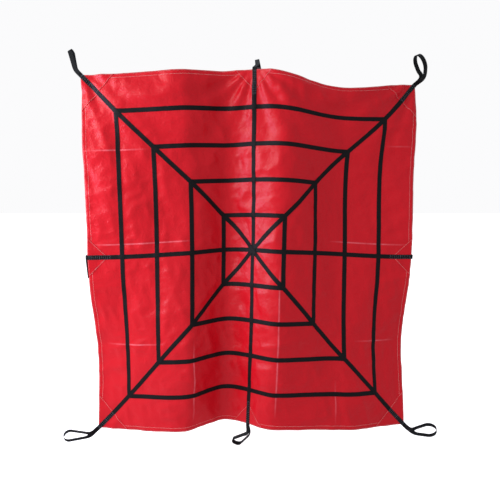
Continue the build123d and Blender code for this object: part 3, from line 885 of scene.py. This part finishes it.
class TARP_OT_spokes(TarpStep, bpy.types.Operator):
    """Sews the four full-length spokes over the rings"""

    def make(self, shop, sizes, hang):
        for name, (direction, under) in SPOKES.items():
            edge = edge_distance(direction)
            sew_strap(shop, f"spoke_{name}", direction, spoke_steps(direction, under, sizes), -edge, edge)


class TARP_OT_loop_tails(TarpStep, bpy.types.Operator):
    """Sews each loop's return ply to the back"""

    def make(self, shop, sizes, hang):
        for name, loop in LOOPS.items():
            corner, edge = loop["corner"], edge_distance(loop["corner"])
            sew_strap(shop, f"loop_tail_{name}", corner, tail_steps(corner, sizes),
                      edge - sizes.tail_length, edge)


class TARP_OT_loops(TarpStep, bpy.types.Operator):
    """Bends each lifting loop out of the hem, round its eye and back"""

    def make(self, shop, sizes, hang):
        for name, loop in LOOPS.items():
            spine = LoopSpine(name, hang, sizes)
            strap = Strap(loop["corner"])
            past = np.array([0.0, 0.25, 0.5, 0.75]) * STUB_LENGTH
            places = edge_distance(loop["corner"]) + past
            half, side = sizes.webbing_thickness / 2, sizes.webbing_width / 2
            front = (2 * sizes.sheet_thickness + half, sizes.sheet_thickness / 2 + half)
            back = (-sizes.sheet_thickness - half, sizes.sheet_thickness / 2 - half)
            roots, widths = [], []
            for levels in (front, back):
                level = levels[0] + (levels[1] - levels[0]) * ease(past / (STUB_LENGTH / 2))
                right, middle, left = (hang.place(*strap.point(places, offset), level)
                                       for offset in (-side, 0.0, side))
                roots.append(middle)
                widths.append((left - right) / sizes.webbing_width)
            eye, eye_widths = spine.eye_points()
            path = BandPath(np.concatenate([roots[0], eye, roots[1][::-1]]),
                            np.concatenate([widths[0], eye_widths, widths[1][::-1]]))
            cells = int(path.length / (4 * MM))
            band = table_grid(f"loop_{name}", path.length, sizes.webbing_width, cells, 6)
            thicken(band, sizes.webbing_thickness, WEBBING_ROUNDING)

            def place(x, y, z, path=path):
                return path.place(x + path.length / 2, y, z - sizes.webbing_thickness / 2)

            form(band, place, shop.webbing, body=None, nodes=[f"loop_{name}"])
            start = roots[0][0] * 0.5 + roots[1][0] * 0.5
            end = spine.spine[int(BLEND_LENGTH / spine.STEP)]
            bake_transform(band)


def stitch_shape(length, width, height):
    """One stitch, lying along X with its underside flat on the table: its points and faces."""
    bpy.ops.object.select_all(action="DESELECT")
    bpy.ops.mesh.primitive_ico_sphere_add(subdivisions=1, radius=0.5)
    bpy.ops.object.mode_set(mode="EDIT")
    bpy.ops.transform.resize(value=(length, width, 2 * height))
    bpy.ops.mesh.select_all(action="SELECT")
    bpy.ops.mesh.bisect(plane_co=(0, 0, -0.2 * height), plane_no=(0, 0, -1), clear_outer=True, use_fill=True)
    bpy.ops.object.mode_set(mode="OBJECT")
    stitch = bpy.context.object
    points = table_points(stitch)
    faces = [list(face.vertices) for face in stitch.data.polygons]
    bpy.data.objects.remove(stitch)
    return points, faces


def seam(start, end, pitch):
    """Stitches from start to end on the flat sheet: (u, v, angle) each."""
    start, end = np.array(start, float), np.array(end, float)
    way = end - start
    length = np.linalg.norm(way)
    count = max(int(length / pitch), 1)
    shares = (np.arange(count) + 0.5) / count
    places = start + way * shares[:, None]
    return np.column_stack([places, np.full(count, np.arctan2(way[1], way[0]))])


def zigzag(start, end, swing, pitch):
    """Zigzag stitches about the line from start to end, reaching swing to each side of it."""
    stitches = seam(start, end, pitch)
    lean = np.arctan2(2 * swing, pitch)
    stitches[:, 2] += np.where(np.arange(len(stitches)) % 2, lean, -lean)
    return stitches


def sew(shop, name, stitches, level, shape, material, nodes=()):
    """Sews copies of one stitch through the cloth. stitches holds (u, v, angle) rows and level how
    far the cloth's face stands in front of the sheet's back at each."""
    points, faces = shape
    count, size = len(stitches), len(points)
    u, v, angle = (column[:, None] for column in stitches.T)
    x = u + points[:, 0] * np.cos(angle) - points[:, 1] * np.sin(angle)
    y = v + points[:, 0] * np.sin(angle) + points[:, 1] * np.cos(angle)
    z = np.broadcast_to(level, count)[:, None] + points[:, 2] + 0 * u
    mesh = bpy.data.meshes.new(name)
    shifts = np.arange(count) * size
    mesh.from_pydata(np.column_stack([x.ravel(), y.ravel(), z.ravel()]), [],
                     [[k + shift for k in face] for shift in shifts for face in faces])
    piece = bpy.data.objects.new(name, mesh)
    bpy.context.scene.collection.objects.link(piece)
    bpy.context.view_layer.objects.active = piece
    table = np.tile(points[:, :2], (count, 1))
    return form(piece, shop.hang.place, material, nodes=nodes,
                spread=lambda across, along: (table[:, 0], table[:, 1]))


class TARP_OT_seams(TarpStep, bpy.types.Operator):
    """Sews the hem and gusset seams, a stitch at a time"""

    def make(self, shop, sizes, hang):
        stitch = stitch_shape(SEAM_STITCH, SEAM_THREAD, SEAM_THREAD / 2)
        inner, outer = HALF_SIDE - sizes.hem_width + SEAM_MARGIN, HALF_SIDE - SEAM_MARGIN
        base, height, leg = sizes.side_gusset_base / 2, sizes.side_gusset_height, sizes.corner_gusset
        web, slant = sizes.webbing_width / 2, GUSSET_MARGIN * sqrt(2)
        far = HALF_SIDE - leg
        near = base * (1 - (HALF_SIDE - inner) / height)
        tip = HALF_SIDE - height + GUSSET_MARGIN + web * height / base
        foot = base - GUSSET_MARGIN - SEAM_MARGIN
        middle = HALF_SIDE - leg / 2 + slant / 2
        hem, gusset = [], []
        for quarter in range(4):
            def line(start, end, quarter=quarter):
                return seam(turn_quarters(*start, quarter), turn_quarters(*end, quarter), SEAM_PITCH)

            for sign in (-1, 1):
                hem.append(line((inner, sign * near), (inner, sign * (far + HALF_SIDE - inner))))
                hem.append(line((outer, sign * base), (outer, sign * far)))
                gusset.append(line((tip, sign * web), (outer, sign * foot)))
                gusset.append(line((outer, sign * web), (outer, sign * (foot - FOOT_GAP))))
                start, end = sign * web / sqrt(2), sign * (leg / 2 - SEAM_MARGIN - slant / 2)
                gusset.append(line((middle + start, middle - start), (middle + end, middle - end)))
            gusset.append(line((outer, far + slant + SEAM_MARGIN), (outer, HALF_SIDE - CORNER_GAP)))
            gusset.append(line((far + slant + SEAM_MARGIN, outer), (HALF_SIDE - CORNER_GAP, outer)))
        for name, rows, plies in (("hem", hem, 1), ("gusset", gusset, 2)):
            sew(shop, f"{name}_seams", np.concatenate(rows), plies * sizes.sheet_thickness, stitch,
                shop.seam_thread, [f"{name}_stitching"])


class TARP_OT_tacks(TarpStep, bpy.types.Operator):
    """Ties each spoke's end and loop tail together with boxed zigzags"""

    def make(self, shop, sizes, hang):
        stitch = stitch_shape(TACK_STITCH, TACK_THREAD, TACK_THREAD / 2)
        front, front_levels, back, back_levels = [], [], [], []
        for loop in LOOPS.values():
            corner = loop["corner"]
            direction = corner if corner in SPOKE_STEPS_FOR else (-corner[0], -corner[1])
            strap = Strap(direction, spoke_steps(direction, SPOKE_STEPS_FOR[direction], sizes))
            sign = 1 if direction == corner else -1
            edge = edge_distance(corner)
            tail = Strap(corner, tail_steps(corner, sizes))
            start, end = edge - TACK_LENGTH, edge - TACK_END
            rows = [seam((start, side), (end, side), 1.6 * SEAM_PITCH) for side in (-TACK_SIDE, TACK_SIDE)]
            rows.append(zigzag((start, 0.0), (end, 0.0), TACK_SWING, TACK_ZIGZAG_PITCH))
            rows += [seam((place, -TACK_SIDE), (place, TACK_SIDE), SEAM_PITCH)
                     for place in (start, (start + end) / 2, end)]
            rows = np.concatenate(rows)
            for strap_line, turn, rows_out, levels_out, lift in (
                    (strap, sign, front, front_levels, sizes.webbing_thickness),
                    (tail, 1, back, back_levels, 0.0)):
                place = rows[:, 0] * turn
                u, v = strap_line.point(place, rows[:, 1] * turn)
                angle = rows[:, 2] + np.arctan2(strap_line.along[1], strap_line.along[0])
                rows_out.append(np.column_stack([u, v, angle]))
                levels_out.append(strap_line.level(place) + lift)
        sew(shop, "tack_seams", np.concatenate(front), np.concatenate(front_levels), stitch,
            shop.tack_thread, ["tack_stitching"])
        flipped = (stitch[0] * (1, 1, -1), [face[::-1] for face in stitch[1]])
        sew(shop, "tack_seams_back", np.concatenate(back), np.concatenate(back_levels), flipped,
            shop.tack_thread)


class TARP_OT_web_seams(TarpStep, bpy.types.Operator):
    """Sews both edges of every ring strap and spoke to the sheet"""

    def make(self, shop, sizes, hang):
        stitch = stitch_shape(SEAM_STITCH, WEB_THREAD, WEB_STITCH_HEIGHT)
        side = sizes.webbing_width / 2 - WEB_MARGIN
        rings, ring_level = [], sizes.sheet_thickness + sizes.webbing_thickness
        for ring in range(1, RING_COUNT + 1):
            for quarter in range(4):
                for offset in (-side, side):
                    middle = ring * RING_SPACING + offset
                    reach = middle - CORNER_GAP
                    for start, end in ((-reach, -CROSSING_GAP), (CROSSING_GAP, reach)):
                        rings.append(seam(turn_quarters(middle, start, quarter),
                                          turn_quarters(middle, end, quarter), WEB_PITCH))
        sew(shop, "ring_seams", np.concatenate(rings), ring_level, stitch, shop.webbing)
        for name, (direction, under) in SPOKES.items():
            strap = Strap(direction, spoke_steps(direction, under, sizes))
            edge = edge_distance(direction)
            rows, levels = [], []
            for offset in (-side, side):
                for start, end in ((TACK_LENGTH - edge, -CENTRE_GAP), (CENTRE_GAP, edge - TACK_LENGTH)):
                    row = seam((start, offset), (end, offset), WEB_PITCH)
                    u, v = strap.point(row[:, 0], row[:, 1])
                    angle = row[:, 2] + np.arctan2(strap.along[1], strap.along[0])
                    rows.append(np.column_stack([u, v, angle]))
                    levels.append(strap.level(row[:, 0]) + sizes.webbing_thickness)
            sew(shop, f"spoke_seams_{name}", np.concatenate(rows), np.concatenate(levels), stitch,
                shop.webbing)


# The stage, about the sheet's middle: each light's name, place, size, power and colour; the world's
# strength as a light at the right and at the left; and the camera.
LIGHTS = (
    ("key", (-5.2, -2.9, 2.4), 2.2, 128, "FFFFFF"),
    ("side", (-3.4, -0.7, 0.8), 1.4, 62, "D8DCFF"),
)
WORLD_LIGHT = (0.56, 0.96)
FLOOR_SIDE = 400
FLOOR_DROP = 0.05  # under the lowest point
FLOOR_GLOW = 0.93
CAMERA_DISTANCE = 5.3
CAMERA_AZIMUTH = -0.7
CAMERA_PITCH = 4.0
CAMERA_FOCUS = 1.218  # focal length in frame widths
CAMERA_SHIFT = -0.0058


class TARP_OT_stage(TarpStep, bpy.types.Operator):
    """Sets the pale floor, the soft studio lights and the camera"""

    def make(self, shop, sizes, hang):
        bpy.ops.object.select_all(action="DESELECT")
        bpy.ops.mesh.primitive_plane_add(size=FLOOR_SIDE, location=(0, 0, CAD_BOX[0][2] - FLOOR_DROP))
        floor = bpy.context.object
        floor.name = "floor"
        material, tree = new_material("pale_studio_floor")
        # The floor glows to the eye alone, so it lights the sheet no more than a matt floor does.
        path = add_node(tree, "LightPath")
        glow = add_node(tree, "Math", [(path, 0), (FLOOR_GLOW, 1)], operation="MULTIPLY")
        matt = add_node(tree, "BsdfPrincipled", [(glow, "Emission Strength")],
                        Base_Color=linear("E4E4E4"), Roughness=0.9, Emission_Color=linear("FFFFFF"))
        finish_material(tree, matt)
        floor.data.materials.append(material)
        bpy.context.scene.world = self.studio_world()
        middle = Vector(hang.place(0.0, 0.0, 0.0)[0])
        for name, offset, size, power, colour in LIGHTS:
            self.add_light(name, middle, offset, size, power, colour)
        self.add_camera(middle)

    @staticmethod
    def studio_world():
        """Pale all round; as a light it is brighter to the left."""
        world = bpy.data.worlds.new("studio")
        world.use_nodes = True
        tree = world.node_tree
        tree.nodes.clear()
        way = add_node(tree, "TexCoord")
        split = add_node(tree, "SeparateXYZ", [(way.outputs["Generated"], "Vector")])
        leftwards = add_node(tree, "MapRange", [(split.outputs["X"], "Value")], From_Min=1.0,
                             From_Max=-1.0, To_Min=WORLD_LIGHT[0], To_Max=WORLD_LIGHT[1])
        light = add_node(tree, "Background", [(leftwards, "Strength")], Color=linear("F2F5FF"))
        seen = add_node(tree, "Background", Color=linear("FBFBFC"), Strength=1.0)
        path = add_node(tree, "LightPath")
        mixed = add_node(tree, "MixShader", [(path, 0), (light, 1), (seen, 2)])
        add_node(tree, "OutputWorld", [(mixed, "Surface")])
        return world

    @staticmethod
    def add_light(name, middle, offset, size, power, colour):
        light = bpy.data.lights.new(name, "AREA")
        light.shape = "DISK"
        light.size = size
        light.energy = power
        light.color = linear(colour)[:3]
        lamp = bpy.data.objects.new(name, light)
        lamp.location = middle + Vector(offset)
        lamp.rotation_euler = (-Vector(offset)).to_track_quat("-Z", "Y").to_euler()
        bpy.context.scene.collection.objects.link(lamp)

    @staticmethod
    def add_camera(middle):
        azimuth, pitch = radians(CAMERA_AZIMUTH), radians(CAMERA_PITCH)
        data = bpy.data.cameras.new("camera")
        data.sensor_width = 36
        data.lens = 36 * CAMERA_FOCUS
        camera = bpy.data.objects.new("camera", data)
        away = Vector((sin(azimuth) * cos(pitch), -cos(azimuth) * cos(pitch), sin(pitch)))
        camera.location = middle + away * CAMERA_DISTANCE
        camera.rotation_euler = (-away).to_track_quat("-Z", "Y").to_euler()
        data.shift_x = CAMERA_SHIFT
        scene = bpy.context.scene
        scene.collection.objects.link(camera)
        scene.camera = camera
        scene.view_settings.view_transform = "Standard"


OPERATORS = (TARP_OT_sheet, TARP_OT_hems, TARP_OT_gussets, TARP_OT_ring_straps, TARP_OT_spokes,
             TARP_OT_loop_tails, TARP_OT_loops, TARP_OT_seams, TARP_OT_tacks, TARP_OT_web_seams,
             TARP_OT_stage)


class TARP_PT_panel(bpy.types.Panel):
    """Lists the tarp's pieces in the order in which they are made"""

    bl_label = "Lifting tarp"
    bl_space_type = "VIEW_3D"
    bl_region_type = "UI"
    bl_category = "Tarp"

    def draw(self, context):
        for operator in OPERATORS:
            self.layout.operator(operator.bl_idname)


CLASSES = (TarpSizes, TarpColours, *OPERATORS, TARP_PT_panel)


def register():
    for item in CLASSES:
        bpy.utils.register_class(item)
    bpy.types.Scene.tarp_sizes = bpy.props.PointerProperty(type=TarpSizes)
    bpy.types.Scene.tarp_colours = bpy.props.PointerProperty(type=TarpColours)


def unregister():
    del bpy.types.Scene.tarp_colours
    del bpy.types.Scene.tarp_sizes
    for item in reversed(CLASSES):
        bpy.utils.unregister_class(item)


def main():
    register()
    for operator in OPERATORS:
        group, name = operator.bl_idname.split(".")
        getattr(getattr(bpy.ops, group), name)()


if __name__ == "__main__":
    main()
